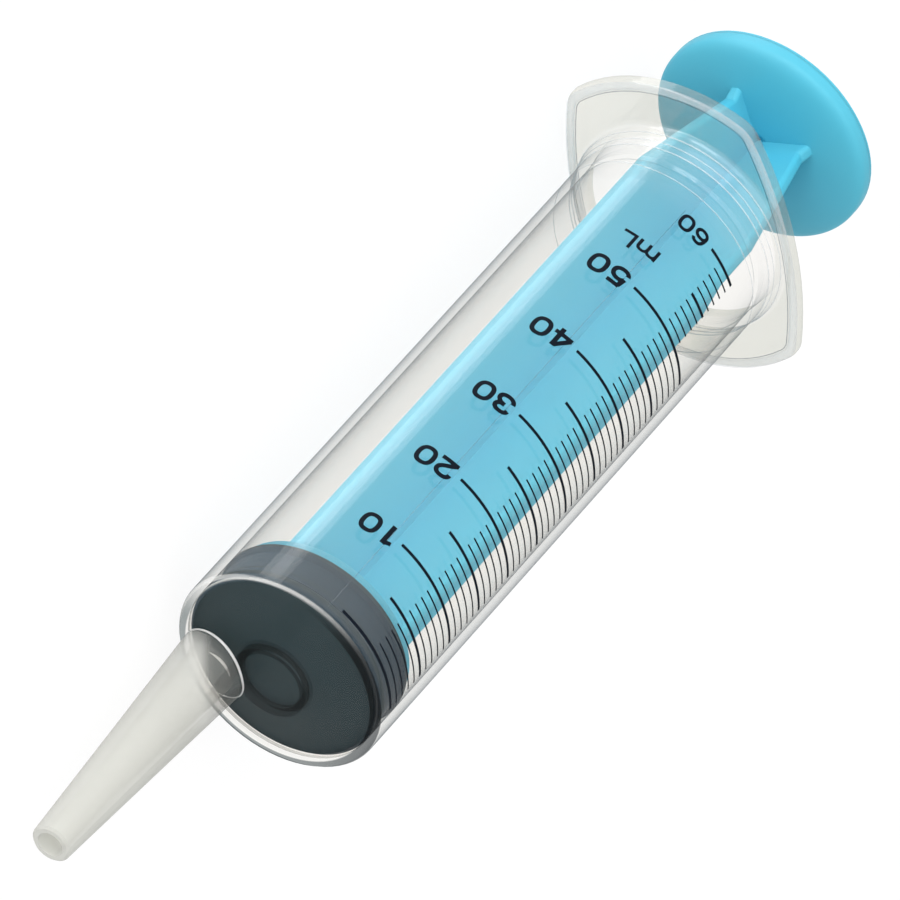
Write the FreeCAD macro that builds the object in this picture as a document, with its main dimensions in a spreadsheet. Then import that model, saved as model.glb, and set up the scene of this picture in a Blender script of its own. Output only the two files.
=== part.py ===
import FreeCAD, Part
import math
import os
import Sketcher

# A 60 mL pet feeding syringe: a clear barrel with an off-centre tapered nozzle, a rubber
# gasket and a plunger. Each piece is drawn about its own Z axis, which is the barrel's axis,
# with Z = 0 at the 0 mL mark, the nozzle at negative Z and the thumb rest at positive Z.
# Y points away from the side that the nozzle is moved to. The pieces are then laid on their
# side: the nozzle points along +X of the part, and the flange's short side touches the floor.

# Lengths are in millimetres and angles in degrees.
SIZES = [
    ("BoreRadius", 14.6, "inside of the barrel"),
    ("WallThickness", 1.2, "barrel wall"),
    ("RimAhead", 2.4, "front rim, ahead of the 0 mL mark"),
    ("ConeSlope", 0.231, "rise of the conical front wall for each millimetre inwards"),
    ("EndWall", 1.05, "front wall, measured along the axis"),
    ("RimBevel", 0.5, "bevel of the front rim"),
    ("NoseFlat", 6.2, "radius of the flat middle of the front wall's inside"),
    ("GateRadius", 4.5, "floor of the round recess in the middle of the front wall"),
    ("GateSlopeWidth", 1.05, "sloping side of that recess"),
    ("GateDepth", 0.35, "depth of that recess below its edge"),
    ("NozzleMargin", 0.9, "from the nozzle's foot to the outside of the barrel"),
    ("NozzleFootRadius", 5.4, "outside of the nozzle at its foot"),
    ("NozzleTipRadius", 2.9, "outside of the nozzle at its tip"),
    ("NozzleReach", 41.6, "tip of the nozzle, ahead of the front rim"),
    ("OutletRadius", 1.9, "straight bore at the nozzle's tip"),
    ("OutletLength", 12.0, "length of that straight bore"),
    ("InletRadius", 3.8, "nozzle bore where it meets the barrel's chamber"),
    ("TipBevel", 0.35, "bevel of the nozzle's tip"),
    ("FlangePlace", 101.9, "front face of the finger flange, behind the 0 mL mark"),
    ("FlangeThickness", 1.75, "finger flange"),
    ("EarReach", 8.0, "finger flange beyond the barrel, along its long side"),
    ("EndArcDrop", 0.3, "how far the end arcs' centres lie across the axis"),
    ("SideReach", 1.8, "finger flange beyond the barrel, across its short side"),
    ("SideArcRadius", 62.5, "bowed long edges of the finger flange"),
    ("FlangeCorner", 4.5, "rounded corners of the finger flange"),
    ("FlangeBevel", 0.45, "bevelled edge of the finger flange"),
    ("FlangeRoot", 1.0, "fillet between barrel and finger flange"),
    ("FlareReach", 0.9, "how much the barrel widens under the finger flange"),
    ("FlareLength", 3.6, "length of that widening"),
    ("MouthReach", 0.6, "how much the bore widens at its mouth"),
    ("MouthDepth", 4.4, "length of that widening"),
    ("Capacity", 60.0, "largest mark, in mL"),
    ("RidgeHeight", 0.3, "ridge in the bore that stops the gasket"),
    ("RidgeWidth", 1.2, "width of that ridge"),
    ("RidgeClearance", 0.3, "from the drawn-out gasket to that ridge"),
    ("SealClearance", 0.06, "running fit of the gasket's sealing ribs in the bore"),
    ("FrontClearance", 0.3, "from the gasket to the front wall"),
    ("SealWidth", 0.6, "crest of each sealing rib"),
    ("SealSlope", 0.5, "sloping side of each sealing rib"),
    ("WaistDepth", 0.5, "how far the gasket's waist lies below its ribs"),
    ("GasketRear", 6.6, "rear face of the gasket, behind the 0 mL mark"),
    ("GasketNoseWall", 2.2, "rubber in front of the plunger's head"),
    ("HeadRadius", 7.2, "plunger's head, held inside the gasket"),
    ("HeadThickness", 2.0, "plunger's head"),
    ("NeckRadius", 4.6, "plunger's neck"),
    ("SnapClearance", 0.08, "running fit of head and neck in the gasket"),
    ("DiscClearance", 0.7, "plunger's front disc below the bore"),
    ("DiscThickness", 1.3, "plunger's front disc"),
    ("RibClearance", 1.1, "plunger's ribs below the bore"),
    ("RibThickness", 2.0, "each rib of the plunger"),
    ("RibRound", 0.75, "rounding along the ribs' outer edges"),
    ("TaperPlace", 98.8, "where the ribs begin to narrow, behind the 0 mL mark"),
    ("TaperInset", 4.4, "how much the ribs narrow up to the thumb rest"),
    ("RibFlare", 1.1, "how much the ribs widen again at the thumb rest"),
    ("RibFlareLength", 2.2, "length of that widening in front of the thumb rest"),
    ("ThumbPlace", 123.85, "widest circle of the thumb rest, behind the 0 mL mark"),
    ("ThumbRadius", 16.4, "thumb rest"),
    ("ThumbEdge", 1.3, "rounding of the thumb rest's edge towards the barrel"),
    ("ThumbFlat", 3.0, "flat middle of the thumb rest's conical underside"),
    ("ThumbSlope", 4.5, "slope of that underside, in degrees"),
    ("ThumbSkirt", 1.8, "from the widest circle to the thumb's side"),
    ("ThumbBevel", 0.45, "bevelled edge on the thumb's side"),
    ("ThumbRim", 0.8, "flat rim round the hollow in the thumb rest"),
    ("ThumbDish", 0.9, "depth and sloping side of that hollow"),
    ("RibTurn", -6.65, "how far the plunger happens to be turned in the barrel"),
]

# Formulas that several pieces share.
OUTER = "(Sizes.BoreRadius + Sizes.WallThickness)"
RIM = "(-Sizes.RimAhead)"
FLANGE_BACK = "(Sizes.FlangePlace + Sizes.FlangeThickness)"
HALF_LONG = f"({OUTER} + Sizes.EarReach)"
HALF_SHORT = f"({OUTER} + Sizes.SideReach)"
NOZZLE_OFFSET = f"({OUTER} - Sizes.NozzleMargin - Sizes.NozzleFootRadius)"
NOZZLE_TIP = f"({RIM} - Sizes.NozzleReach)"
STROKE = "(Sizes.Capacity * 1000 / (pi * Sizes.BoreRadius ^ 2))"
SEAL_RADIUS = "(Sizes.BoreRadius - Sizes.SealClearance)"
WAIST_RADIUS = f"({SEAL_RADIUS} - Sizes.WaistDepth)"
CONE_END_RADIUS = "(Sizes.ThumbRadius - Sizes.ThumbEdge * (1 - sin(Sizes.ThumbSlope)))"
CONE_END = "(Sizes.ThumbPlace - Sizes.ThumbEdge * cos(Sizes.ThumbSlope))"
THUMB_UNDER = f"({CONE_END} - ({CONE_END_RADIUS} - Sizes.ThumbFlat) * tan(Sizes.ThumbSlope))"
THUMB_TOP = "(Sizes.ThumbPlace + Sizes.ThumbSkirt)"
GATE_EDGE = "(Sizes.GateRadius + Sizes.GateSlopeWidth)"
NOSE_INSIDE = f"({RIM} + Sizes.EndWall - Sizes.ConeSlope * ({OUTER} - Sizes.NoseFlat))"
GASKET_NOSE = f"({NOSE_INSIDE} + Sizes.FrontClearance)"
HEAD_FRONT = f"({GASKET_NOSE} + Sizes.GasketNoseWall)"
DISC_FRONT = "(Sizes.GasketRear + Sizes.SnapClearance)"
DISC_BACK = f"({DISC_FRONT} + Sizes.DiscThickness)"

doc = FreeCAD.newDocument("FeedingSyringe")


def write_sheet():
    """The sheet of driving sizes: name, value and what it is."""
    sheet = doc.addObject("Spreadsheet::Sheet", "Sizes")
    for row, (name, value, meaning) in enumerate(SIZES, 1):
        sheet.set(f"A{row}", name)
        sheet.set(f"B{row}", str(value))
        sheet.setAlias(f"B{row}", name)
        sheet.set(f"C{row}", meaning)
    doc.recompute()
    return sheet


sizes = write_sheet()


def value(formula):
    """What a formula on the sheet comes to, as a plain number."""
    result = sizes.evalExpression(formula.replace("Sizes.", ""))
    return float(getattr(result, "Value", result))


def new_body(name):
    body = doc.addObject("PartDesign::Body", name)
    body.Label = name
    return body


def plane(body, role):
    return next(item for item in body.Origin.OriginFeatures if item.Role == role)


def new_sketch(body, name, role):
    sketch = body.newObject("Sketcher::SketchObject", name)
    sketch.AttachmentSupport = (plane(body, role), [""])
    sketch.MapMode = "FlatFace"
    return sketch


def pin_point(sketch, edge, end, across, along):
    """Bind one end of an edge to two formulas, measured from the sketch's origin."""
    for kind, axis, formula in (("DistanceX", -2, across), ("DistanceY", -1, along)):
        if formula == "0":
            sketch.addConstraint(Sketcher.Constraint("PointOnObject", edge, end, axis))
        else:
            constraint = Sketcher.Constraint(kind, -1, 1, edge, end, value(formula))
            index = sketch.addConstraint(constraint)
            sketch.setExpression(f"Constraints[{index}]", formula)


def pin_radius(sketch, edge, formula):
    index = sketch.addConstraint(Sketcher.Constraint("Radius", edge, value(formula)))
    sketch.setExpression(f"Constraints[{index}]", formula)


def arc_between(start, end, radius, side):
    """The short arc from start to end. It bulges to the right of the way for side 1, else left."""
    middle = (start + end) * 0.5
    chord = end - start
    half = chord.Length / 2
    across = FreeCAD.Vector(chord.y, -chord.x, 0).normalize() * side
    to_centre = math.sqrt(max(radius ** 2 - half ** 2, 0))
    crown = middle + across * (radius - to_centre)
    return Part.Arc(start, crown, end)


def outline(body, name, role, steps):
    """A closed sketch. A step is a corner (across, along), or a corner with the radius and side
    of the arc that leads to it, (across, along, radius, side). The first step is a corner."""
    sketch = new_sketch(body, name, role)
    corners = [FreeCAD.Vector(value(step[0]), value(step[1]), 0) for step in steps]
    for index, step in enumerate(steps):
        nxt = (index + 1) % len(steps)
        if len(steps[nxt]) == 4:
            radius, side = steps[nxt][2:]
            arc = arc_between(corners[index], corners[nxt], value(radius), side)
            edge = sketch.addGeometry(arc, False)
            pin_radius(sketch, edge, radius)
        else:
            edge = sketch.addGeometry(Part.LineSegment(corners[index], corners[nxt]), False)
    for index, step in enumerate(steps):
        here = end_at(sketch, index, corners[index])
        before = (index - 1) % len(steps)
        sketch.addConstraint(Sketcher.Constraint(
            "Coincident", before, end_at(sketch, before, corners[index]), index, here))
        pin_point(sketch, index, here, step[0], step[1])
    return sketch


def end_at(sketch, edge, point):
    """Which end of an edge lies at a point: 1 for its start, 2 for its end."""
    first = sketch.getPoint(edge, 1)
    last = sketch.getPoint(edge, 2)
    return 1 if first.distanceToPoint(point) < last.distanceToPoint(point) else 2


def revolve(body, name, kind, sketch):
    """Turn a sketch about its own vertical axis, as a Revolution or a Groove."""
    before = volume(body)
    feature = body.newObject(f"PartDesign::{kind}", name)
    feature.Profile = sketch
    feature.ReferenceAxis = (sketch, ["V_Axis"])
    feature.Angle = 360
    finish(body, feature, before, 1 if kind == "Revolution" else -1)
    return feature


def pad(body, name, sketch, length, midplane=False):
    before = volume(body)
    feature = body.newObject("PartDesign::Pad", name)
    feature.Profile = sketch
    feature.setExpression("Length", length)
    feature.Midplane = midplane
    finish(body, feature, before, 1)
    return feature


def volume(body):
    doc.recompute()
    return body.Shape.Volume if body.Shape.Solids else 0.0


def finish(body, feature, before, sign):
    """Recompute, and make sure that the feature added or removed material as it should."""
    body.Tip = feature
    change = (volume(body) - before) * sign
    if change <= 0:
        raise RuntimeError(f"{feature.Name} changes the volume the wrong way: {change}")


def dress_edges(body, kind, name, size, wanted):
    """Fillet or chamfer each edge of the body so far that wanted picks out."""
    doc.recompute()
    base = body.Tip
    picked = [f"Edge{i}" for i, edge in enumerate(base.Shape.Edges, 1) if wanted(edge)]
    if not picked:
        raise RuntimeError(f"{name} finds no edge")
    feature = body.newObject(f"PartDesign::{kind}", name)
    feature.Base = (base, picked)
    feature.setExpression("Radius" if kind == "Fillet" else "Size", size)
    body.Tip = feature
    doc.recompute()
    return feature


def reach(edge):
    """How far the middle of an edge lies from the barrel's axis."""
    middle = edge.valueAt((edge.FirstParameter + edge.LastParameter) / 2)
    return math.hypot(middle.x, middle.y)


def at_height(edge, height, slack=0.01):
    box = edge.BoundBox
    return abs(box.ZMin - height) < slack and abs(box.ZMax - height) < slack


def flange_outline(body):
    """Two end arcs about the barrel and two bowed long edges."""
    sketch = new_sketch(body, "FlangeOutline", "XY_Plane")
    sketch.setExpression("AttachmentOffset.Base.z", "Sizes.FlangePlace")
    end_radius = f"({HALF_LONG} + Sizes.EndArcDrop)"
    side_centre = f"({HALF_SHORT} - Sizes.SideArcRadius)"
    drop = value("Sizes.EndArcDrop")
    end_r = value(end_radius)
    side_r = value("Sizes.SideArcRadius")
    centre_y = value(side_centre)
    corner_x = meet_x(drop, end_r, centre_y, side_r)
    corner_y = centre_y + math.sqrt(side_r ** 2 - corner_x ** 2)
    corner_angle = math.atan2(corner_y, corner_x + drop)
    side_angle = math.acos(corner_x / side_r)
    normal = FreeCAD.Vector(0, 0, 1)
    arcs = []
    for turn in (0, 1):
        way = 1 - 2 * turn
        ends = Part.Circle(FreeCAD.Vector(-drop * way, 0, 0), normal, end_r)
        sides = Part.Circle(FreeCAD.Vector(0, centre_y * way, 0), normal, side_r)
        half_turn = math.pi * turn
        arcs.append(Part.ArcOfCircle(ends, half_turn - corner_angle, half_turn + corner_angle))
        arcs.append(Part.ArcOfCircle(sides, half_turn + side_angle, half_turn + math.pi - side_angle))
    edges = [sketch.addGeometry(arc, False) for arc in arcs]
    for index, edge in enumerate(edges):
        following = edges[(index + 1) % len(edges)]
        sketch.addConstraint(Sketcher.Constraint("Coincident", edge, 2, following, 1))
    pin_radius(sketch, edges[0], end_radius)
    pin_radius(sketch, edges[2], end_radius)
    pin_radius(sketch, edges[1], "Sizes.SideArcRadius")
    pin_radius(sketch, edges[3], "Sizes.SideArcRadius")
    pin_point(sketch, edges[0], 3, "-Sizes.EndArcDrop", "0")
    pin_point(sketch, edges[2], 3, "Sizes.EndArcDrop", "0")
    pin_point(sketch, edges[1], 3, "0", side_centre)
    pin_point(sketch, edges[3], 3, "0", f"-{side_centre}")
    return sketch


def meet_x(drop, end_r, centre_y, side_r):
    """Where an end arc and a long edge meet, found by halving the stretch between them."""
    low, high = 0.0, end_r - drop
    for _ in range(60):
        middle = (low + high) / 2
        on_side = centre_y + math.sqrt(side_r ** 2 - middle ** 2)
        on_end = math.sqrt(end_r ** 2 - (middle + drop) ** 2)
        if on_end > on_side:
            low = middle
        else:
            high = middle
    return low


def build_barrel():
    """Barrel, front wall, nozzle and finger flange, moulded in one."""
    body = new_body("barrel")
    gate_edge_z = f"({RIM} - Sizes.ConeSlope * ({OUTER} - {GATE_EDGE}))"
    gate_floor = f"({gate_edge_z} + Sizes.GateDepth)"
    flare_start = "(Sizes.FlangePlace - Sizes.FlareLength)"
    outside = outline(body, "OutsideProfile", "XZ_Plane", [
        ("0", gate_floor),
        ("Sizes.GateRadius", gate_floor),
        (GATE_EDGE, gate_edge_z),
        (f"{OUTER} - Sizes.RimBevel", f"{RIM} - Sizes.ConeSlope * Sizes.RimBevel"),
        (OUTER, f"{RIM} + Sizes.RimBevel"),
        (OUTER, flare_start),
        (f"{OUTER} + Sizes.FlareReach", "Sizes.FlangePlace"),
        (f"{OUTER} + Sizes.FlareReach", FLANGE_BACK),
        ("0", FLANGE_BACK),
    ])
    revolve(body, "Outside", "Revolution", outside)

    pad(body, "Flange", flange_outline(body), "Sizes.FlangeThickness")
    outer = value(OUTER)
    back = value(FLANGE_BACK)
    front = value("Sizes.FlangePlace")
    beyond = outer + value("Sizes.FlareReach") + 0.1

    def upright_corner(edge):
        box = edge.BoundBox
        upright = box.ZMin > front - 0.01 and box.ZMax - box.ZMin > 0.5 * (back - front)
        return upright and box.XLength + box.YLength < 0.01 and reach(edge) > beyond

    dress_edges(body, "Fillet", "FlangeCorners", "Sizes.FlangeCorner", upright_corner)
    flared = outer + value("Sizes.FlareReach")
    dress_edges(body, "Chamfer", "FlangeEdges", "min(Sizes.FlangeBevel; Sizes.FlangeThickness * 0.45)",
                lambda edge: (at_height(edge, front) or at_height(edge, back)) and reach(edge) > beyond)
    dress_edges(body, "Fillet", "FlangeRootFillet", "Sizes.FlangeRoot",
                lambda edge: at_height(edge, front) and abs(reach(edge) - flared) < 0.05)

    cone = outline(body, "NozzleProfile", "YZ_Plane", [
        ("0", NOZZLE_TIP),
        ("Sizes.NozzleTipRadius - Sizes.TipBevel", NOZZLE_TIP),
        ("Sizes.NozzleTipRadius", f"{NOZZLE_TIP} + Sizes.TipBevel"),
        ("Sizes.NozzleFootRadius", f"{RIM} - Sizes.EndWall"),
        ("Sizes.NozzleFootRadius", f"{RIM} + Sizes.EndWall / 2"),
        ("0", f"{RIM} + Sizes.EndWall / 2"),
    ])
    cone.setExpression("AttachmentOffset.Base.x", f"-{NOZZLE_OFFSET}")
    revolve(body, "Nozzle", "Revolution", cone)

    cavity_rim = f"({RIM} + Sizes.EndWall - Sizes.ConeSlope * Sizes.WallThickness)"
    ridge_start = f"(Sizes.GasketRear + {STROKE} + Sizes.RidgeClearance)"
    ridge_crest = "(Sizes.BoreRadius - Sizes.RidgeHeight)"
    mouth_start = f"({FLANGE_BACK} - Sizes.MouthDepth)"
    inside = outline(body, "InsideProfile", "XZ_Plane", [
        ("0", NOSE_INSIDE),
        ("Sizes.NoseFlat", NOSE_INSIDE),
        ("Sizes.BoreRadius", cavity_rim),
        ("Sizes.BoreRadius", ridge_start),
        (ridge_crest, f"{ridge_start} + Sizes.RidgeWidth / 2"),
        ("Sizes.BoreRadius", f"{ridge_start} + Sizes.RidgeWidth"),
        ("Sizes.BoreRadius", mouth_start),
        ("Sizes.BoreRadius + Sizes.MouthReach", FLANGE_BACK),
        ("0", FLANGE_BACK),
    ])
    revolve(body, "Inside", "Groove", inside)

    outlet_end = f"({NOZZLE_TIP} + Sizes.OutletLength)"
    bore = outline(body, "NozzleBoreProfile", "YZ_Plane", [
        ("0", NOZZLE_TIP),
        ("Sizes.OutletRadius", NOZZLE_TIP),
        ("Sizes.OutletRadius", outlet_end),
        ("Sizes.InletRadius", f"{RIM} - Sizes.EndWall"),
        ("Sizes.InletRadius", f"{RIM} + 2 * Sizes.EndWall"),
        ("0", f"{RIM} + 2 * Sizes.EndWall"),
    ])
    bore.setExpression("AttachmentOffset.Base.x", f"-{NOZZLE_OFFSET}")
    revolve(body, "NozzleBore", "Groove", bore)
    return body


def build_gasket():
    """Rubber gasket: conical nose, two sealing ribs, a waist, and a socket for the plunger."""
    body = new_body("gasket")
    nose_flat = "(Sizes.NoseFlat - Sizes.FrontClearance)"
    shoulder_z = f"({GASKET_NOSE} + Sizes.ConeSlope * ({WAIST_RADIUS} - {nose_flat}))"
    socket_head = "(Sizes.HeadRadius + Sizes.SnapClearance)"
    socket_neck = "(Sizes.NeckRadius + Sizes.SnapClearance)"
    socket_front = f"({HEAD_FRONT} - Sizes.SnapClearance)"
    socket_back = f"({HEAD_FRONT} + Sizes.HeadThickness + Sizes.SnapClearance)"
    rear_crest = "(Sizes.GasketRear - Sizes.SealSlope / 2)"
    profile = outline(body, "GasketProfile", "XZ_Plane", [
        ("0", GASKET_NOSE),
        (nose_flat, GASKET_NOSE),
        (WAIST_RADIUS, shoulder_z),
        (SEAL_RADIUS, f"{shoulder_z} + Sizes.SealSlope"),
        (SEAL_RADIUS, "Sizes.SealWidth"),
        (WAIST_RADIUS, "Sizes.SealWidth + Sizes.SealSlope"),
        (WAIST_RADIUS, f"{rear_crest} - Sizes.SealWidth - Sizes.SealSlope"),
        (SEAL_RADIUS, f"{rear_crest} - Sizes.SealWidth"),
        (SEAL_RADIUS, rear_crest),
        (f"{SEAL_RADIUS} - Sizes.SealSlope / 2", "Sizes.GasketRear"),
        (socket_neck, "Sizes.GasketRear"),
        (socket_neck, socket_back),
        (socket_head, socket_back),
        (socket_head, socket_front),
        ("0", socket_front),
    ])
    revolve(body, "Rubber", "Revolution", profile)
    return body


def build_plunger():
    """Head, neck, front disc, four ribs and thumb rest, moulded in one."""
    body = new_body("plunger")
    head_back = f"({HEAD_FRONT} + Sizes.HeadThickness)"
    front = outline(body, "FrontProfile", "XZ_Plane", [
        ("0", HEAD_FRONT),
        ("Sizes.HeadRadius", HEAD_FRONT),
        ("Sizes.HeadRadius", head_back),
        ("Sizes.NeckRadius", head_back),
        ("Sizes.NeckRadius", DISC_FRONT),
        ("Sizes.BoreRadius - Sizes.DiscClearance", DISC_FRONT),
        ("Sizes.BoreRadius - Sizes.DiscClearance", DISC_BACK),
        ("0", DISC_BACK),
    ])
    revolve(body, "Front", "Revolution", front)

    # The ribs run from inside the disc to inside the thumb rest, where they flare out again.
    rib_reach = "(Sizes.BoreRadius - Sizes.RibClearance)"
    rib_waist = f"({rib_reach} - Sizes.TaperInset)"
    rib_end = f"({rib_waist} + Sizes.RibFlare)"
    rib_start = f"({DISC_FRONT} + Sizes.DiscThickness / 2)"
    flare_start = f"({THUMB_UNDER} - Sizes.RibFlareLength)"
    flare_end = "(Sizes.ThumbPlace - Sizes.ThumbEdge / 2)"
    for name, role in (("LongRib", "XZ_Plane"), ("CrossRib", "YZ_Plane")):
        rib = outline(body, name + "Outline", role, [
            (f"-{rib_reach}", rib_start),
            (rib_reach, rib_start),
            (rib_reach, "Sizes.TaperPlace"),
            (rib_waist, flare_start),
            (rib_end, flare_end),
            (f"-{rib_end}", flare_end),
            (f"-{rib_waist}", flare_start),
            (f"-{rib_reach}", "Sizes.TaperPlace"),
        ])
        pad(body, name, rib, "Sizes.RibThickness", midplane=True)
    round_ribs(body, value(DISC_BACK), value(rib_waist))

    # The underside of the thumb rest is a shallow cone that runs on into the rounded edge.
    recess_edge = "(Sizes.ThumbRadius - Sizes.ThumbBevel - Sizes.ThumbRim)"
    recess_floor = f"({THUMB_TOP} - Sizes.ThumbDish)"
    rest = outline(body, "ThumbRestProfile", "XZ_Plane", [
        ("0", THUMB_UNDER),
        ("Sizes.ThumbFlat", THUMB_UNDER),
        (CONE_END_RADIUS, CONE_END),
        ("Sizes.ThumbRadius", "Sizes.ThumbPlace", "Sizes.ThumbEdge", 1),
        ("Sizes.ThumbRadius", f"{THUMB_TOP} - Sizes.ThumbBevel"),
        ("Sizes.ThumbRadius - Sizes.ThumbBevel", THUMB_TOP),
        (recess_edge, THUMB_TOP),
        (f"{recess_edge} - Sizes.ThumbDish", recess_floor),
        ("0", recess_floor),
    ])
    revolve(body, "ThumbRest", "Revolution", rest)
    return body


def round_ribs(body, start, waist):
    """Round the long outer edges of the ribs, from the disc up to the thumb rest."""
    def along_rib(edge):
        box = edge.BoundBox
        return box.ZMin > start - 0.01 and box.ZMax - box.ZMin > 0.5 and reach(edge) > waist * 0.9

    dress_edges(body, "Fillet", "RibEdges", "Sizes.RibRound", along_rib)


def lay_down(body, turn="0"):
    """Lay a piece on its side: its Z runs along -X of the part, and its Y points up."""
    side = FreeCAD.Matrix(0, 0, -1, 0, -1, 0, 0, 0, 0, 1, 0, 0, 0, 0, 0, 1)
    spin = FreeCAD.Rotation(FreeCAD.Vector(0, 0, 1), value(turn))
    body.Placement = FreeCAD.Placement(FreeCAD.Vector(), FreeCAD.Rotation(side) * spin)
    body.setExpression("Placement.Base.x", f"({THUMB_TOP} + {NOZZLE_TIP}) / 2")
    body.setExpression("Placement.Base.z", f"max({HALF_SHORT}; Sizes.ThumbRadius)")


def check_and_export(bodies):
    """Stop at any failed object or bad shape, then write one file for each piece."""
    doc.recompute()
    for item in doc.Objects:
        if "Invalid" in item.State or "Error" in item.State:
            raise RuntimeError(f"{item.Name} is not valid: {item.State}")
    os.makedirs("parts", exist_ok=True)
    for body in bodies:
        shape = body.Shape
        if shape.isNull() or not shape.isValid() or len(shape.Solids) != 1:
            raise RuntimeError(f"{body.Label} has a bad shape")
    for body in bodies:
        body.Shape.exportStep(f"parts/{body.Label}.step")
        box = body.Shape.BoundBox
        print(f"{body.Label}: volume {body.Shape.Volume:.0f}, "
              f"X {box.XMin:.2f} {box.XMax:.2f}, Y {box.YMin:.2f} {box.YMax:.2f}, "
              f"Z {box.ZMin:.2f} {box.ZMax:.2f}, faces {len(body.Shape.Faces)}")


barrel = build_barrel()
gasket = build_gasket()
plunger = build_plunger()
lay_down(barrel)
lay_down(gasket)
lay_down(plunger, "Sizes.RibTurn")
check_and_export([barrel, gasket, plunger])
print(f"stroke {value(STROKE):.3f}, nozzle offset {value(NOZZLE_OFFSET):.3f}")
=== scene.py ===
import math

import bmesh
import bpy
from mathutils import Matrix, Vector


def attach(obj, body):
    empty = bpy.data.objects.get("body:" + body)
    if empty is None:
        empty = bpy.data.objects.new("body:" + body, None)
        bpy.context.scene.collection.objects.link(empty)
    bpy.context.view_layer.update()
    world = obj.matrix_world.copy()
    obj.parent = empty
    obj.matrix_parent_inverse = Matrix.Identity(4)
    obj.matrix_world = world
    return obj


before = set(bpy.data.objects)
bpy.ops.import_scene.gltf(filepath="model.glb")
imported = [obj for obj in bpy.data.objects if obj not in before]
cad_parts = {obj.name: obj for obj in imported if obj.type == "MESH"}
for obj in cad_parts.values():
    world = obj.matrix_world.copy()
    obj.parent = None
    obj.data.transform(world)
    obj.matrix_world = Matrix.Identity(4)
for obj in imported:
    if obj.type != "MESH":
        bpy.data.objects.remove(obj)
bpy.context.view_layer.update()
scene = bpy.context.scene
MM = 0.001

# The barrel lies along X. A place z mm behind the 0 mL mark is at X = ZERO_X - z mm.
ZERO_X = 40.825
AXIS_Z = 17.6
BARREL_RADIUS = 15.8
BORE_RADIUS = 14.6

# Where the nozzle's frost comes, in millimetres above the front wall, on its near and its far
# side, and half the length over which it comes.
FROST_NEAR = 0.5
FROST_FAR = 6.8
FROST_SOFT = 2.6

# Places along the part, in millimetres of X.
FRONT_START = 42.0
FRONT_FACE = 42.75
FLANGE_FRONT = -61.07
GASKET_FRONT_EDGE = 42.15
GASKET_REAR_EDGE = 34.95
SEAL_LINE = 40.65
GROOVE_LINE = 38.85
DISC_REAR = 32.80
DISC_FRONT = 34.30
THUMB_START = -77.0

# The nozzle's foot, where it stands on the sloping front wall.
NOZZLE_Z = 8.1
NOZZLE_FOOT = 5.4
WALL_EDGE = (43.34, 15.3)
WALL_SLOPE = 0.231
# Where the painted glint in the nozzle's bore lies.
BORE_GLINT_X = 46.0
BORE_GLINT_RADIUS = 3.45


# Materials

def new_material(name):
    """An empty node material, its tree and its output."""
    material = bpy.data.materials.new(name)
    material.use_nodes = True
    tree = material.node_tree
    tree.nodes.clear()
    output = tree.nodes.new("ShaderNodeOutputMaterial")
    return material, tree, output


def add(tree, kind, inputs=None, **settings):
    """A node with settings, and with inputs given as numbers or as sockets of other nodes."""
    node = tree.nodes.new(kind)
    for name, setting in settings.items():
        setattr(node, name, setting)
    for name, given in (inputs or {}).items():
        if isinstance(given, bpy.types.NodeSocket):
            tree.links.new(given, node.inputs[name])
        else:
            node.inputs[name].default_value = given
    return node


def math_node(tree, operation, first, second=0.0):
    return add(tree, "ShaderNodeMath", {0: first, 1: second}, operation=operation).outputs[0]


def place(tree):
    """The object-space X, Y and Z of a point, as three sockets."""
    coordinates = add(tree, "ShaderNodeTexCoord")
    return add(tree, "ShaderNodeSeparateXYZ", {"Vector": coordinates.outputs["Object"]}).outputs


def noise(tree, scale, detail):
    """Object-space noise, as a value from 0 to 1."""
    coordinates = add(tree, "ShaderNodeTexCoord")
    return add(tree, "ShaderNodeTexNoise", {
        "Vector": coordinates.outputs["Object"], "Scale": scale, "Detail": detail}).outputs["Fac"]


def span(tree, value, low, high):
    """A value from low..high millimetres carried to 0..1."""
    return add(tree, "ShaderNodeMapRange", {
        "Value": value, "From Min": low * MM, "From Max": high * MM}).outputs["Result"]


def ramp(tree, value, low, high):
    """A value from 0..1 carried to low..high."""
    return add(tree, "ShaderNodeMapRange", {
        "Value": value, "To Min": low, "To Max": high}).outputs["Result"]


def step(tree, value, start, end):
    """A smooth step from 0 at start to 1 at end."""
    return add(tree, "ShaderNodeMapRange", {
        "Value": value, "From Min": start, "From Max": end},
        interpolation_type="SMOOTHSTEP").outputs["Result"]


def tint(tree, value, first, second):
    """A colour between two, by a value."""
    mix = add(tree, "ShaderNodeMix", {0: value}, data_type="RGBA")
    mix.inputs[6].default_value = (*first, 1)
    mix.inputs[7].default_value = (*second, 1)
    return mix.outputs[2]


def blend(tree, share, first, second):
    """Two shaders mixed: share is how much of the second shows."""
    return add(tree, "ShaderNodeMixShader", {0: share, 1: first, 2: second}).outputs["Shader"]


def grazing(tree, power):
    """0 where a surface is seen head-on, and 1 where it is seen edge-on."""
    facing = add(tree, "ShaderNodeLayerWeight", {"Blend": 0.5}).outputs["Facing"]
    return math_node(tree, "POWER", facing, power)


def distance(tree, y, z, middle):
    """How far a point is from a line along X, at y = 0 and a height in millimetres."""
    height = math_node(tree, "SUBTRACT", z, middle * MM)
    squares = math_node(tree, "ADD", math_node(tree, "MULTIPLY", y, y),
                        math_node(tree, "MULTIPLY", height, height))
    return math_node(tree, "SQRT", squares)


def between(tree, value, low, high, soft):
    """1 where a value lies from low to high millimetres, with soft ends."""
    rise = step(tree, value, (low - soft) * MM, (low + soft) * MM)
    fall = step(tree, value, (high + soft) * MM, (high - soft) * MM)
    return math_node(tree, "MULTIPLY", rise, fall)


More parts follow.
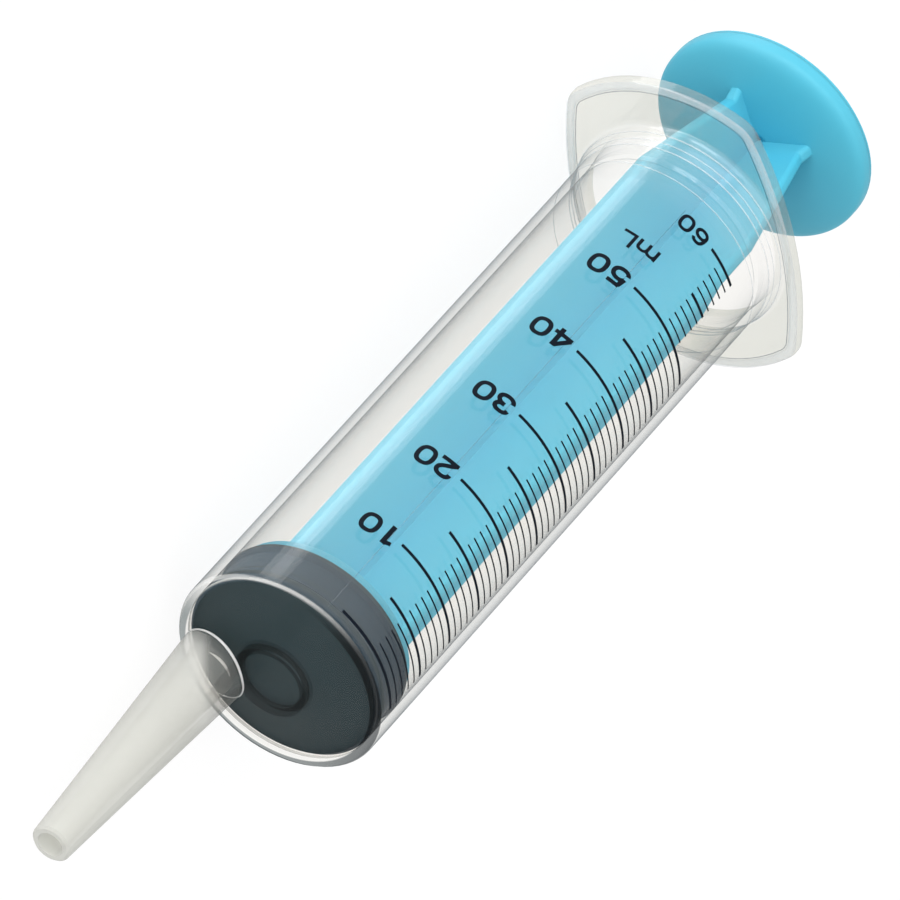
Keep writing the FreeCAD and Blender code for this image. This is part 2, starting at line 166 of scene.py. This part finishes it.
def blue_plastic():
    """Satin polypropylene."""
    material, tree, output = new_material("blue_plastic")
    blotch = noise(tree, 60, 3)
    grain = noise(tree, 2600, 2)
    x = place(tree)[0]
    # Painted shade: the plunger's disc, just behind the gasket, is darkened by the first shade below, where
    # the two parts meet.
    painted_disc_shade = between(tree, x, DISC_REAR, DISC_FRONT, 0.10)
    thumb_rest = step(tree, x, THUMB_START * MM, (THUMB_START - 2.5) * MM)
    shaded = tint(tree, blotch, (0.066, 0.455, 0.625), (0.080, 0.485, 0.655))
    for share, shade in ((painted_disc_shade, (0.72, 0.74, 0.76)), (thumb_rest, (1.05, 0.965, 0.94))):
        shaded = add(tree, "ShaderNodeMix", {0: share, 6: shaded, 7: (*shade, 1)}, data_type="RGBA",
                     blend_type="MULTIPLY").outputs[2]
    fine = add(tree, "ShaderNodeBump", {"Height": grain, "Strength": 0.08, "Distance": 0.00005})
    shader = add(tree, "ShaderNodeBsdfPrincipled", {
        "Base Color": shaded,
        "Roughness": ramp(tree, grain, 0.46, 0.56),
        "Normal": fine.outputs["Normal"],
        "Specular IOR Level": 0.4,
    })
    tree.links.new(shader.outputs["BSDF"], output.inputs["Surface"])
    return material


def dark_rubber():
    """Slate rubber. A painted reflection makes its side paler, lighter low down and darker higher up; the
    front seal and a fine groove keep the rubber's dark colour.
    """
    material, tree, output = new_material("dark_rubber")
    blotch = noise(tree, 90, 3)
    grain = noise(tree, 240, 3)
    x, _, z = place(tree)
    across = span(tree, z, 2.0, 23.0)
    side = between(tree, x, GASKET_REAR_EDGE, GASKET_FRONT_EDGE, 0.15)
    seal = between(tree, x, SEAL_LINE - 0.40, SEAL_LINE + 0.40, 0.15)
    groove = between(tree, x, GROOVE_LINE - 0.12, GROOVE_LINE + 0.12, 0.08)
    dark_lines = math_node(tree, "MULTIPLY", ramp(tree, seal, 1.0, 0.05), ramp(tree, groove, 1.0, 0.05))
    # The paler side is a painted reflection on the rubber where it stands off the barrel's wall; it leaves
    # out the seal and the groove.
    painted_sheen_band = math_node(tree, "MULTIPLY", side, dark_lines)
    face = tint(tree, blotch, (0.011, 0.029, 0.037), (0.015, 0.035, 0.045))
    # Painted light: the side's reflection is lighter low down and darker higher up, as if lit from one
    # side.
    painted_lit_side = tint(tree, blotch, (0.060, 0.108, 0.152), (0.072, 0.124, 0.170))
    painted_dim_side = tint(tree, blotch, (0.010, 0.030, 0.050), (0.015, 0.039, 0.061))
    painted_sheen = add(tree, "ShaderNodeMix", {0: across, 6: painted_lit_side, 7: painted_dim_side}, data_type="RGBA").outputs[2]
    colour = add(tree, "ShaderNodeMix", {0: painted_sheen_band, 6: face, 7: painted_sheen}, data_type="RGBA").outputs[2]
    rough = add(tree, "ShaderNodeBump", {"Height": grain, "Strength": 0.01, "Distance": 0.00004})
    shader = add(tree, "ShaderNodeBsdfPrincipled", {
        "Base Color": colour,
        "Roughness": ramp(tree, grain, 0.50, 0.60),
        "Normal": rough.outputs["Normal"],
        "Specular IOR Level": 0.2,
    })
    tree.links.new(shader.outputs["BSDF"], output.inputs["Surface"])
    return material


def clear_plastic():
    """Clear polypropylene, a little hazy at the mouth and frosted on the nozzle. Painted highlights: white
    lines at the bore's front corner and on the rim's bevel, stronger low down. Painted shade: grey in the
    rim and on the flange's ears, both darker higher up."""
    material, tree, output = new_material("clear_plastic")
    x, y, z = place(tree)
    radius = distance(tree, y, z, AXIS_Z)
    grain = noise(tree, 700, 3)
    cloud = noise(tree, 45, 2)
    edge = grazing(tree, 6.5)
    front = step(tree, x, FRONT_START * MM, (FRONT_START + 0.6) * MM)
    front_face = step(tree, x, FRONT_FACE * MM, (FRONT_FACE + 0.2) * MM)
    across = span(tree, z, 2.0, 33.0)
    far_side = step(tree, y, -14 * MM, -6 * MM)
    ears = step(tree, x, (FLANGE_FRONT + 0.4) * MM, FLANGE_FRONT * MM)
    mouth = math_node(tree, "SUBTRACT", step(tree, x, -48 * MM, -56 * MM), ears)
    # Painted shade: the rim on the far (+Y) half is greyed, darker higher up.
    painted_rim_shade = math_node(tree, "MULTIPLY", math_node(tree, "MULTIPLY", front_face, far_side),
                          step(tree, radius, 14.15 * MM, 14.45 * MM))
    painted_rim_shade_colour = tint(tree, across, (0.41, 0.45, 0.46), (0.22, 0.23, 0.24))
    # The flange's ears: a warm tint of the plastic, with painted shade that darkens them higher up.
    ear_tint_and_painted_shade = tint(tree, across, (0.955, 0.952, 0.930), (0.895, 0.902, 0.882))
    # Painted highlights: white lines on the rim's bevel and at the bore's front corner, stronger low down.
    bevel_glint = math_node(tree, "MULTIPLY", math_node(tree, "MULTIPLY", front_face, step(
        tree, y, -2 * MM, -11 * MM)), step(tree, radius, 15.2 * MM, 15.4 * MM))
    corner_glint = math_node(tree, "MULTIPLY", between(tree, x, 41.95, 42.50, 0.10),
                       between(tree, radius, 14.45, 14.75, 0.10))
    gate = math_node(tree, "MULTIPLY", front, between(tree, radius, 4.45, 5.55, 0.12))

    dark_edge = math_node(tree, "MULTIPLY", edge, ramp(tree, ears, 1.0, 0.4))
    colour = tint(tree, dark_edge, (0.984, 0.977, 0.963), (0.14, 0.18, 0.20))
    for share, shade in ((ears, ear_tint_and_painted_shade), (painted_rim_shade, painted_rim_shade_colour),
                         (gate, (0.60, 0.60, 0.60, 1))):
        darker = add(tree, "ShaderNodeMix", {0: share, 6: colour, 7: shade},
                     data_type="RGBA", blend_type="MULTIPLY")
        colour = darker.outputs[2]
    clear = add(tree, "ShaderNodeBsdfTransparent", {"Color": colour}).outputs[0]
    haze = add(tree, "ShaderNodeBsdfDiffuse", {"Color": (0.88, 0.88, 0.86, 1)}).outputs[0]
    shine = add(tree, "ShaderNodeBsdfGlossy", {
        "Color": (0.97, 0.98, 1.0, 1), "Roughness": ramp(tree, cloud, 0.07, 0.12)}).outputs[0]
    thin_haze = math_node(tree, "MULTIPLY", ramp(tree, cloud, 0.012, 0.024), ramp(tree, front, 1.0, 0.2))
    # The painted highlights go into the share of white haze.
    painted_highlights = math_node(tree, "ADD",
                             math_node(tree, "MULTIPLY", corner_glint, ramp(tree, across, 0.64, 0.14)),
                             math_node(tree, "MULTIPLY", bevel_glint, ramp(tree, across, 0.50, 0.0)))
    mouth_haze = math_node(tree, "ADD", math_node(tree, "MULTIPLY", mouth, 0.035),
                           math_node(tree, "MULTIPLY", ears, 0.05))
    milk_share = math_node(tree, "ADD", math_node(tree, "ADD", thin_haze, mouth_haze), painted_highlights)
    body = blend(tree, milk_share, clear, haze)
    over_gasket = step(tree, x, 33 * MM, 36 * MM)
    calm = math_node(tree, "MULTIPLY", ramp(tree, front, 1.0, 0.2), ramp(tree, over_gasket, 1.0, 0.5))
    shine_share = math_node(tree, "MULTIPLY", ramp(tree, edge, 0.046, 0.30), calm)
    body = blend(tree, shine_share, body, shine)

    rim = grazing(tree, 2.2)
    veil = add(tree, "ShaderNodeBsdfTransparent", {
        "Color": tint(tree, rim, (0.96, 0.96, 0.93), (0.62, 0.63, 0.66))}).outputs[0]
    milk = add(tree, "ShaderNodeBsdfDiffuse", {
        "Color": tint(tree, grain, (0.715, 0.715, 0.685), (0.745, 0.745, 0.712))}).outputs[0]
    glow = add(tree, "ShaderNodeBsdfTranslucent", {"Color": (0.78, 0.78, 0.745, 1)}).outputs[0]
    satin = add(tree, "ShaderNodeBsdfGlossy", {
        "Color": (0.9, 0.9, 0.9, 1), "Roughness": ramp(tree, grain, 0.38, 0.48)}).outputs[0]
    frosted = blend(tree, 0.70, veil, blend(tree, 0.45, milk, glow))
    frosted = blend(tree, 0.05, frosted, satin)

    wall = math_node(tree, "ADD", math_node(tree, "MULTIPLY", radius, -WALL_SLOPE),
                     (WALL_EDGE[0] + WALL_EDGE[1] * WALL_SLOPE) * MM)
    above = math_node(tree, "SUBTRACT", x, wall)
    slant = math_node(tree, "ADD", y, math_node(tree, "SUBTRACT", z, NOZZLE_Z * MM))
    line = ramp(tree, step(tree, slant, -7.5 * MM, 2.5 * MM), FROST_NEAR * MM, FROST_FAR * MM)
    reach = math_node(tree, "SUBTRACT", above, line)
    off_wall = step(tree, above, 0.10 * MM, 0.60 * MM)
    full_frost = step(tree, reach, -FROST_SOFT * MM, FROST_SOFT * MM)
    frost = math_node(tree, "MULTIPLY", off_wall, ramp(tree, full_frost, 0.22, 1.0))
    final = blend(tree, frost, body, frosted)
    tree.links.new(final, output.inputs["Surface"])
    return material


def clear_trim(name, colour, milk_share):
    """Clear plastic for a thin line or bead: a tint, and how much of it is white haze."""
    material, tree, output = new_material(name)
    grain = noise(tree, 900, 2)
    clear = add(tree, "ShaderNodeBsdfTransparent", {
        "Color": tint(tree, grain, colour, tuple(min(1, c * 1.04) for c in colour))}).outputs[0]
    haze = add(tree, "ShaderNodeBsdfDiffuse", {"Color": (0.90, 0.90, 0.90, 1)}).outputs[0]
    shine = add(tree, "ShaderNodeBsdfGlossy", {
        "Color": (1, 1, 1, 1), "Roughness": ramp(tree, grain, 0.08, 0.16)}).outputs[0]
    body = blend(tree, milk_share, clear, haze)
    tree.links.new(blend(tree, 0.05, body, shine), output.inputs["Surface"])
    return material


def ink():
    material, tree, output = new_material("ink")
    patch = noise(tree, 1500, 3)
    shader = add(tree, "ShaderNodeBsdfPrincipled", {
        "Base Color": tint(tree, patch, (0.0015, 0.004, 0.009), (0.003, 0.006, 0.012)),
        "Roughness": ramp(tree, patch, 0.55, 0.65),
        "Specular IOR Level": 0.08,
    })
    tree.links.new(shader.outputs["BSDF"], output.inputs["Surface"])
    return material


# The printed scale. A place on the barrel is (turn, along): degrees round it, from 0 at -Y to 90
# at the top, and millimetres behind the 0 mL mark.

MARK_PITCH = 1000 / (math.pi * BORE_RADIUS ** 2)
INK_RADIUS = BARREL_RADIUS + 0.02
INK_THICKNESS = 0.02
DEGREES_PER_MM = math.degrees(1 / BARREL_RADIUS)
MARK_END = 105.3
LATE_MARK_END = 83.12
BOLD_MARK = 0.50
FINE_MARK = 0.27


def on_barrel(turn, along, lift=0.0):
    """A point on the outside of the barrel."""
    angle = math.radians(turn)
    radius = INK_RADIUS + lift
    return Vector(((ZERO_X - along) * MM, -radius * math.cos(angle) * MM,
                   (AXIS_Z + radius * math.sin(angle)) * MM))


def add_stroke(mesh, path, width):
    """A thin closed strip of ink along a path of (turn, along) places."""
    points = [Vector((turn / DEGREES_PER_MM, along)) for turn, along in path]
    rings = []
    for index, point in enumerate(points):
        ahead = points[min(index + 1, len(points) - 1)] - points[max(index - 1, 0)]
        side = Vector((-ahead.y, ahead.x)).normalized() * width / 2
        ring = []
        for edge, lift in ((-1, 0), (1, 0), (1, INK_THICKNESS), (-1, INK_THICKNESS)):
            spot = point + side * edge
            ring.append(mesh.verts.new(on_barrel(spot.x * DEGREES_PER_MM, spot.y, lift)))
        rings.append(ring)
    for one, two in zip(rings, rings[1:]):
        for k in range(4):
            mesh.faces.new((one[k], one[(k + 1) % 4], two[(k + 1) % 4], two[k]))
    mesh.faces.new(rings[0][::-1])
    mesh.faces.new(rings[-1])


def finish_ink(name, mesh, material):
    bmesh.ops.recalc_face_normals(mesh, faces=mesh.faces)
    data = bpy.data.meshes.new(name)
    mesh.to_mesh(data)
    mesh.free()
    data.materials.append(material)
    piece = bpy.data.objects.new(name, data)
    scene.collection.objects.link(piece)
    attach(piece, "barrel")
    piece.visible_shadow = False
    piece.visible_diffuse = False


def mark_start(volume):
    """Where the line at a volume starts, in degrees round the barrel."""
    if volume == 60:
        return 60.8
    if volume > 50:
        return 68.65
    if volume % 10 == 0:
        return 44.8
    return 57.8 if volume % 5 == 0 else 69.45


def build_marks(material):
    mesh = bmesh.new()
    for volume in range(61):
        start = mark_start(volume)
        end = LATE_MARK_END if volume > 50 else MARK_END
        steps = math.ceil((end - start) / 2)
        along = volume * MARK_PITCH
        path = [(start + (end - start) * k / steps, along) for k in range(steps + 1)]
        add_stroke(mesh, path, BOLD_MARK if volume % 5 == 0 else FINE_MARK)
    finish_ink("scale_marks", mesh, material)


# Each character: how far the next one starts, and its strokes, where the character is 1 tall.
# A stroke is a start point, and then points (a straight run) or triples of points (a curve with
# two handles and an end).
CHARACTERS = {
    "1": (0.70, [
        [(0.305, 0.0), (0.305, 1.0)],
        [(0.0, 0.80), ((0.12, 0.81), (0.22, 0.86), (0.28, 0.97))]]),
    "2": (0.865, [
        [(0.095, 0.66), ((0.095, 0.83), (0.22, 0.905), (0.39, 0.905)),
         ((0.55, 0.905), (0.665, 0.82), (0.665, 0.69)),
         ((0.665, 0.50), (0.47, 0.42), (0.32, 0.31)), ((0.20, 0.225), (0.13, 0.17), (0.105, 0.095))],
        [(0.01, 0.095), (0.76, 0.095)]]),
    "3": (0.865, [
        [(0.10, 0.70), ((0.11, 0.84), (0.22, 0.905), (0.38, 0.905)),
         ((0.54, 0.905), (0.64, 0.84), (0.64, 0.725)), ((0.64, 0.60), (0.53, 0.54), (0.33, 0.54))],
        [(0.33, 0.53), ((0.56, 0.53), (0.68, 0.43), (0.68, 0.295)),
         ((0.68, 0.165), (0.56, 0.095), (0.38, 0.095)), ((0.21, 0.095), (0.095, 0.165), (0.085, 0.31))]]),
    "4": (0.90, [
        [(0.565, 0.0), (0.565, 1.0)],
        [(0.0, 0.29), (0.80, 0.29)],
        [(0.06, 0.31), (0.53, 0.955)]]),
    "5": (0.90, [
        [(0.16, 0.905), (0.71, 0.905)],
        [(0.215, 0.905), (0.135, 0.47)],
        [(0.13, 0.50), ((0.20, 0.585), (0.29, 0.62), (0.39, 0.62)),
         ((0.57, 0.62), (0.69, 0.51), (0.69, 0.35)), ((0.69, 0.19), (0.56, 0.095), (0.37, 0.095)),
         ((0.20, 0.095), (0.10, 0.165), (0.085, 0.28))]]),
    "6": (0.894, [
        [(0.09, 0.33), ((0.09, 0.19), (0.21, 0.095), (0.395, 0.095)),
         ((0.57, 0.095), (0.69, 0.19), (0.69, 0.33)), ((0.69, 0.47), (0.57, 0.555), (0.395, 0.555)),
         ((0.21, 0.555), (0.09, 0.46), (0.09, 0.33)), ((0.09, 0.70), (0.20, 0.905), (0.42, 0.905)),
         ((0.56, 0.905), (0.64, 0.85), (0.67, 0.74))]]),
    "0": (0.90, [
        [(0.095, 0.5), ((0.095, 0.78), (0.19, 0.905), (0.405, 0.905)),
         ((0.62, 0.905), (0.715, 0.78), (0.715, 0.5)), ((0.715, 0.22), (0.62, 0.095), (0.405, 0.095)),
         ((0.19, 0.095), (0.095, 0.22), (0.095, 0.5)), (0.095, 0.51)]]),
    "m": (1.316, [
        [(0.085, 0.0), (0.085, 0.72)],
        [(0.085, 0.42), ((0.10, 0.56), (0.20, 0.635), (0.33, 0.635)),
         ((0.50, 0.635), (0.59, 0.57), (0.59, 0.42)), (0.59, 0.0)],
        [(0.59, 0.42), ((0.61, 0.56), (0.70, 0.635), (0.84, 0.635)),
         ((1.01, 0.635), (1.095, 0.57), (1.095, 0.42)), (1.095, 0.0)]]),
    "L": (0.80, [
        [(0.09, 0.0), (0.09, 1.0)],
        [(0.01, 0.09), (0.755, 0.09)]]),
}
CURVE_STEPS = 9


def trace(stroke):
    """The points along one stroke of a character."""
    points = [Vector(stroke[0])]
    for part in stroke[1:]:
        start = points[-1]
        if isinstance(part[0], tuple):
            one, two, end = (Vector(p) for p in part)
            for k in range(1, CURVE_STEPS + 1):
                t = k / CURVE_STEPS
                u = 1 - t
                points.append(start * u ** 3 + one * 3 * u * u * t + two * 3 * u * t * t + end * t ** 3)
        else:
            end = Vector(part)
            runs = max(1, math.ceil((end - start).length / 0.15))
            points += [start.lerp(end, k / runs) for k in range(1, runs + 1)]
    return points


def build_word(name, text, turn, middle, height, weight, material):
    """A word whose first character starts at turn. It reads towards smaller turns, with the
    characters' tops towards the nozzle and their middle at a place along the barrel."""
    mesh = bmesh.new()
    start = 0.0
    for character in text:
        advance, strokes = CHARACTERS[character]
        for stroke in strokes:
            path = [(turn - (start + point.x) * height * DEGREES_PER_MM,
                     middle - (point.y - 0.5) * height) for point in trace(stroke)]
            add_stroke(mesh, path, weight * height)
        start += advance
    finish_ink(name, mesh, material)


NUMBER_SHIFT = -0.27
black = ink()
build_marks(black)
for volume in (10, 20, 30, 40, 50):
    build_word(f"number_{volume}", str(volume), 40.8, volume * MARK_PITCH + NUMBER_SHIFT, 3.6, 0.19, black)
build_word("number_60", "60", 56.7, 60 * MARK_PITCH + NUMBER_SHIFT, 2.9, 0.18, black)
build_word("unit", "mL", 43.8, 80.83, 2.87, 0.17, black)

looks = {"barrel": clear_plastic(), "gasket": dark_rubber(), "plunger": blue_plastic()}
for node, material in looks.items():
    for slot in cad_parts[node].material_slots:
        slot.material = material


# Fine moulded detail, and pieces that carry painted highlights

def sweep(name, rings, material, body, closed=True):
    """A solid whose cross-sections are closed rings of points in millimetres."""
    mesh = bmesh.new()
    loops = [[mesh.verts.new(Vector(point) * MM) for point in ring] for ring in rings]
    pairs = list(zip(loops, loops[1:]))
    if closed:
        pairs.append((loops[-1], loops[0]))
    count = len(loops[0])
    for one, two in pairs:
        for k in range(count):
            face = mesh.faces.new((one[k], one[(k + 1) % count], two[(k + 1) % count], two[k]))
            face.smooth = True
    if not closed:
        mesh.faces.new(loops[0][::-1])
        mesh.faces.new(loops[-1])
    bmesh.ops.recalc_face_normals(mesh, faces=mesh.faces)
    data = bpy.data.meshes.new(name)
    mesh.to_mesh(data)
    mesh.free()
    data.materials.append(material)
    piece = bpy.data.objects.new(name, data)
    scene.collection.objects.link(piece)
    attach(piece, body)


def turned(profile, count):
    """Rings of a profile of (place along X, radius) turned about the barrel's axis."""
    rings = []
    for k in range(count):
        angle = math.tau * k / count
        rings.append([(x, radius * math.cos(angle), AXIS_Z + radius * math.sin(angle))
                      for x, radius in profile])
    return rings


def dome_profile():
    """The shallow dome and round rim of the thumb rest, a hair outside the solid one."""
    top, height, reach, power = -80.25, 2.8, 16.43, 3.0
    profile = []
    for k in range(37):
        radius = reach * math.sin(math.radians(8 + 82 * k / 36))
        fall = 1 - (1 - (radius / reach) ** power) ** (1 / power)
        profile.append((top - height * fall, radius))
    profile += [(-83.6, reach), (-84.1, reach), (-84.1, 15.6), (-82.6, 14.5), (-82.3, 2.4)]
    return profile


def flange_edge(inset):
    """The flange's outline, moved inwards, as places (y, z) round the barrel's axis."""
    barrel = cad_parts["barrel"]
    spots = {}
    for vertex in barrel.data.vertices:
        spot = barrel.matrix_world @ vertex.co / MM
        if abs(spot.x - (FLANGE_FRONT - 0.45)) < 0.02:
            place_yz = Vector((spot.y, spot.z - AXIS_Z))
            if place_yz.length > 17.0:
                spots[(round(spot.y, 2), round(spot.z, 2))] = place_yz
    ordered = sorted(spots.values(), key=lambda p: math.atan2(p.y, p.x))
    moved = []
    for index, spot in enumerate(ordered):
        along = (ordered[(index + 1) % len(ordered)] - ordered[index - 1]).normalized()
        inward = Vector((-along.y, along.x))
        moved.append(spot + inward * inset)
    return [(p.x, AXIS_Z + p.y) for p in moved]


def flat_band(name, outer, inner, face_x, rise, material):
    """A thin plate between two outlines on the flange's front face."""
    rings = []
    for (y0, z0), (y1, z1) in zip(flange_edge(outer), flange_edge(inner)):
        rings.append([(face_x, y0, z0), (face_x, y1, z1), (face_x + rise, y1, z1), (face_x + rise, y0, z0)])
    sweep(name, rings, material, "barrel")


def foot_rings():
    """The small fillet where the nozzle stands on the front wall. It swells on one side and is whitish: a
    painted highlight on the fillet.
    """
    rings = []
    for k in range(72):
        angle = math.tau * k / 72
        size = 0.02 + 0.17 * (0.5 + 0.5 * math.cos(angle - math.radians(125))) ** 3
        ring = []
        for out, ahead in ((-0.15, -0.1), (size, -0.05), (size * 0.5, size * 0.13),
                           (size * 0.13, size * 0.5), (-0.05, size), (-0.15, size)):
            y = (NOZZLE_FOOT + out) * math.cos(angle)
            z = NOZZLE_Z + (NOZZLE_FOOT + out) * math.sin(angle)
            axis_distance = math.hypot(y, z - AXIS_Z)
            wall = WALL_EDGE[0] + (WALL_EDGE[1] - axis_distance) * WALL_SLOPE
            ring.append((wall + ahead, y, z))
        rings.append(ring)
    return rings


def bore_step():
    """A thin whitish arc on the nozzle's bore, thin at both ends: a painted glint."""
    rings = []
    for k in range(25):
        angle = math.radians(88 + 76 * k / 24)
        half = 0.02 + 0.20 * math.sin(math.pi * k / 24)
        rings.append([(BORE_GLINT_X + along, (BORE_GLINT_RADIUS + out) * math.cos(angle),
                       NOZZLE_Z + (BORE_GLINT_RADIUS + out) * math.sin(angle))
                      for along, out in ((-half, -0.05), (half, -0.05), (half, 0.05), (-half, 0.05))])
    return rings


def bead(x, radius, size):
    """The cross-section of a fine ring that stands on the barrel."""
    return [(x - size, radius - 0.03), (x - size * 0.5, radius + size * 0.5), (x, radius + size * 0.7),
            (x + size * 0.5, radius + size * 0.5), (x + size, radius - 0.03)]


PARTING_TURN = 38.3
catch_light = clear_trim("clear_catch_light", (0.95, 0.96, 0.97), 0.22)
soft_line = clear_trim("clear_soft_line", (0.78, 0.84, 0.87), 0.02)
painted_edge_highlight = clear_trim("clear_edge_highlight", (0.97, 0.98, 0.99), 0.22)
grey_line = clear_trim("clear_grey_line", (0.70, 0.72, 0.74), 0.02)
sweep("thumb_dome", turned(dome_profile(), 160), looks["plunger"], "plunger")
# A whitish finish for painted glints: on the nozzle's fillet and in its bore.
painted_glint_white = clear_trim("clear_painted_glint", (0.93, 0.94, 0.95), 0.60)
sweep("nozzle_fillet", foot_rings(), painted_glint_white, "barrel")
sweep("bore_step", bore_step(), painted_glint_white, "barrel", closed=False)
# A whitish band along the flange's edge: a painted highlight where light shows in the edge.
flat_band("flange_band", 0.15, 1.50, FLANGE_FRONT, 0.02, painted_edge_highlight)
flat_band("flange_line", 1.60, 1.74, FLANGE_FRONT, 0.03, grey_line)
# Four fine whitish rings at the mouth, in the catch-light finish: painted highlights.
for number, (place_x, radius, size) in enumerate((
        (-53.4, 15.80, 0.08), (-57.6, 15.82, 0.12), (-58.6, 16.05, 0.09), (-59.8, 16.42, 0.12))):
    sweep(f"mouth_ring_{number + 1}", turned(bead(place_x, radius, size), 120), catch_light, "barrel")
parting = [[(x, -(15.78 + lift) * math.cos(math.radians(PARTING_TURN + turn)),
             AXIS_Z + (15.78 + lift) * math.sin(math.radians(PARTING_TURN + turn)))
            for turn, lift in ((-0.22, 0), (0.22, 0), (0.14, 0.04), (-0.14, 0.04))]
           for x in (42.0, 10.0, -20.0, -50.0)]
sweep("parting_line", parting, soft_line, "barrel", closed=False)


# Floor, light and camera

def build_floor():
    size = 3.0
    data = bpy.data.meshes.new("floor")
    data.from_pydata([(-size, -size, 0), (size, -size, 0), (size, size, 0), (-size, size, 0)], [],
                     [(0, 1, 2, 3)])
    floor = bpy.data.objects.new("floor", data)
    floor.location.z = -0.0002
    scene.collection.objects.link(floor)
    material, tree, output = new_material("floor_white")
    matt = add(tree, "ShaderNodeBsdfDiffuse", {"Color": (0.80, 0.80, 0.80, 1)}).outputs[0]
    white = add(tree, "ShaderNodeEmission", {"Color": (1, 1, 1, 1), "Strength": 1.06}).outputs[0]
    share = math_node(tree, "MULTIPLY", seen_directly(tree), 0.84)
    tree.links.new(blend(tree, share, matt, white), output.inputs["Surface"])
    data.materials.append(material)


def seen_directly(tree):
    """1 for what the camera sees, also by a reflection or through glass, and 0 for light."""
    path = add(tree, "ShaderNodeLightPath").outputs
    seen = math_node(tree, "MAXIMUM", path["Is Camera Ray"], path["Is Glossy Ray"])
    return math_node(tree, "MAXIMUM", seen, path["Is Transmission Ray"])


def add_area(name, location, size, power):
    """A square lamp aimed at the part."""
    lamp = bpy.data.lights.new(name, "AREA")
    lamp.shape = "SQUARE"
    lamp.size = size
    lamp.energy = power
    holder = bpy.data.objects.new(name, lamp)
    holder.location = location
    aim = Vector((0, 0, 0.02)) - Vector(location)
    holder.rotation_euler = aim.to_track_quat("-Z", "Y").to_euler()
    scene.collection.objects.link(holder)


def add_strip():
    """A long soft strip on the floor beside the part, for the highlight along the barrel."""
    lamp = bpy.data.lights.new("strip", "AREA")
    lamp.shape = "RECTANGLE"
    lamp.size = 0.30
    lamp.size_y = 0.030
    lamp.energy = 0.075
    holder = bpy.data.objects.new("strip", lamp)
    holder.location = (-0.01, -0.050, 0.0005)
    holder.rotation_euler = (math.pi, 0, 0)
    holder.visible_camera = False
    holder.visible_diffuse = False
    scene.collection.objects.link(holder)


def build_world():
    world = bpy.data.worlds.new("studio")
    scene.world = world
    world.use_nodes = True
    tree = world.node_tree
    tree.nodes.clear()
    output = tree.nodes.new("ShaderNodeOutputWorld")
    toward = add(tree, "ShaderNodeTexCoord").outputs["Generated"]
    side = add(tree, "ShaderNodeSeparateXYZ", {"Vector": toward}).outputs["Y"]
    mirrored = add(tree, "ShaderNodeMapRange", {
        "Value": side, "From Min": -0.6, "From Max": 0.3, "To Min": 1.0, "To Max": 0.55}).outputs["Result"]
    plain = ramp(tree, seen_directly(tree), 0.75, 1.0)
    path = add(tree, "ShaderNodeLightPath").outputs
    strength = add(tree, "ShaderNodeMix", {0: path["Is Glossy Ray"], 2: plain, 3: mirrored}).outputs[0]
    light = add(tree, "ShaderNodeBackground", {"Color": (1, 1, 1, 1), "Strength": strength})
    tree.links.new(light.outputs[0], output.inputs["Surface"])


def build_camera():
    data = bpy.data.cameras.new("camera")
    data.sensor_width = 36
    data.lens = 582.13
    data.clip_end = 20
    camera = bpy.data.objects.new("camera", data)
    right = Vector((-0.51982823, 0.18124839, 0.83482192))
    up = Vector((-0.57496587, -0.79699091, -0.18498576))
    back = Vector((0.63181711, -0.57615493, 0.51851001))
    turn = Matrix((right, up, back)).transposed().to_4x4()
    camera.matrix_world = Matrix.Translation((1.227544, -1.125360, 1.026463)) @ turn
    scene.collection.objects.link(camera)
    scene.camera = camera


build_floor()
build_world()
add_area("key", (0.30, -1.20, 0.45), 1.6, 12)
add_area("top", (0.15, -0.30, 1.30), 1.4, 5)
add_area("low", (0.20, -0.80, 0.12), 0.5, 2.2)
add_strip()
build_camera()
scene.view_settings.view_transform = "Standard"
